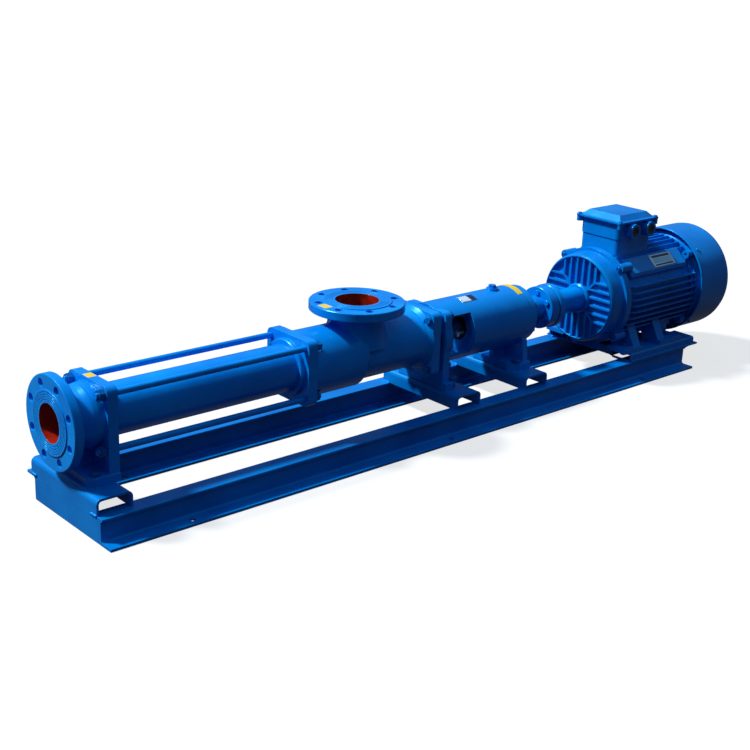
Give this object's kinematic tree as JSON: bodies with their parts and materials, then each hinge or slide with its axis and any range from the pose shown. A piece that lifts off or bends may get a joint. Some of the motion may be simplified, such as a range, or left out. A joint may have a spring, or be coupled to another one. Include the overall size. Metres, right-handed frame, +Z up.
{
  "type": "progressive cavity pump",
  "caption": "Helical rotor pump with a tie-rod stator, top suction branch, bearing bracket, pin coupling and finned electric motor on a welded Z-section skid.",
  "frame": {"origin": "middle of the whole set in plan, at the underside of the skid", "axes": "+X along the pump axis from the discharge flange to the motor's fan, -Y the side with the cable entries and the outward skid foot, +Z up; the pump axis is at Y = 14 mm, Z = 210 mm"},
  "size_m": [2.053, 0.33, 0.434],
  "materials": {
    "skid_enamel": "gloss enamel over rolled steel",
    "pump_enamel": "gloss enamel over cast iron",
    "motor_enamel": "gloss enamel over cast iron",
    "machined_steel": "turned",
    "hard_chrome": "polished",
    "bearing_steel": "ground",
    "black_rubber": "moulded",
    "packing_yarn": "graphited plait",
    "lamination_steel": "stacked sheet",
    "copper_winding": "varnished wire",
    "black_plastic": "moulded",
    "plate_metal": "satin"
  },
  "bodies": {
    "base": {"near_side_rail": "skid_enamel", "far_side_rail": "skid_enamel", "front_end_plate": "skid_enamel", "rear_end_plate": "skid_enamel", "front_cross_channel": "skid_enamel", "middle_cross_channel": "skid_enamel", "rear_cross_channel": "skid_enamel", "near_motor_rail": "skid_enamel", "far_motor_rail": "skid_enamel", "motor_cross_member": "skid_enamel", "discharge_casing": "pump_enamel", "stator_tube": "pump_enamel", "suction_casing": "pump_enamel", "bearing_bracket": "pump_enamel", "bearing_cover": "pump_enamel", "tie_rods": "pump_enamel", "tie_rod_nuts": "pump_enamel", "casing_bolts": "pump_enamel", "cover_screws": "pump_enamel", "pump_foot_bolts": "pump_enamel", "stuffing_box": "pump_enamel", "motor_frame": "motor_enamel", "motor_front_shield": "motor_enamel", "motor_rear_shield": "motor_enamel", "fan_cowl": "motor_enamel", "terminal_box": "motor_enamel", "terminal_box_lid": "motor_enamel", "shield_bolts": "motor_enamel", "motor_foot_bolts": "motor_enamel", "cable_glands": "motor_enamel", "gland_studs": "machined_steel", "small_screws": "machined_steel", "bearing_outer_rings": "bearing_steel", "stator_liner": "black_rubber", "gaskets": "black_rubber", "oil_seals": "black_rubber", "packing_rings": "packing_yarn", "motor_stator_core": "lamination_steel", "motor_windings": "copper_winding", "filler_plug": "black_plastic", "terminal_board": "black_plastic", "rating_plates": "plate_metal"},
    "drive_line": {"drive_shaft": "machined_steel", "drive_joint_pin": "machined_steel", "shaft_keys": "machined_steel", "bearing_inner_rings": "bearing_steel", "bearing_balls": "bearing_steel", "pump_coupling_half": "pump_enamel", "coupling_pins": "machined_steel", "coupling_bushes": "black_rubber", "motor_coupling_half": "pump_enamel", "motor_shaft": "machined_steel", "motor_rotor": "lamination_steel", "motor_fan": "black_plastic"},
    "joint_boots": {"joint_boots": "black_rubber"},
    "connecting_rod": {"connecting_rod": "machined_steel"},
    "rotor": {"rotor": "hard_chrome", "rotor_joint_pin": "machined_steel"},
    "gland": {"gland_follower": "pump_enamel", "gland_nuts": "machined_steel"}
  },
  "joints": [
    {"name": "drive_spin", "type": "hinge", "parent": "base", "child": "drive_line", "pos_m": [0.1735, 0.014, 0.21], "axis": [1, 0, 0], "continuous": true},
    {"name": "joint_orbit", "type": "hinge", "parent": "base", "child": "joint_boots", "pos_m": [-0.1215, 0.014, 0.21], "axis": [1, 0, 0], "continuous": true},
    {"name": "rod_spin", "type": "hinge", "parent": "joint_boots", "child": "connecting_rod", "pos_m": [-0.3865, 0.021, 0.21], "axis": [0.9997, -0.0264, 0], "continuous": true},
    {"name": "rotor_spin", "type": "hinge", "parent": "joint_boots", "child": "rotor", "pos_m": [-0.6865, 0.021, 0.21], "axis": [1, 0, 0], "continuous": true},
    {"name": "gland_slide", "type": "slide", "parent": "base", "child": "gland", "axis": [1, 0, 0], "range_m": [0, 0.016]}
  ],
  "couplings": [
    {"joint": "joint_orbit", "follows": "drive_spin", "ratio": -1},
    {"joint": "rotor_spin", "follows": "drive_spin", "ratio": 2},
    {"joint": "rod_spin", "follows": "drive_spin", "ratio": 2}
  ]
}
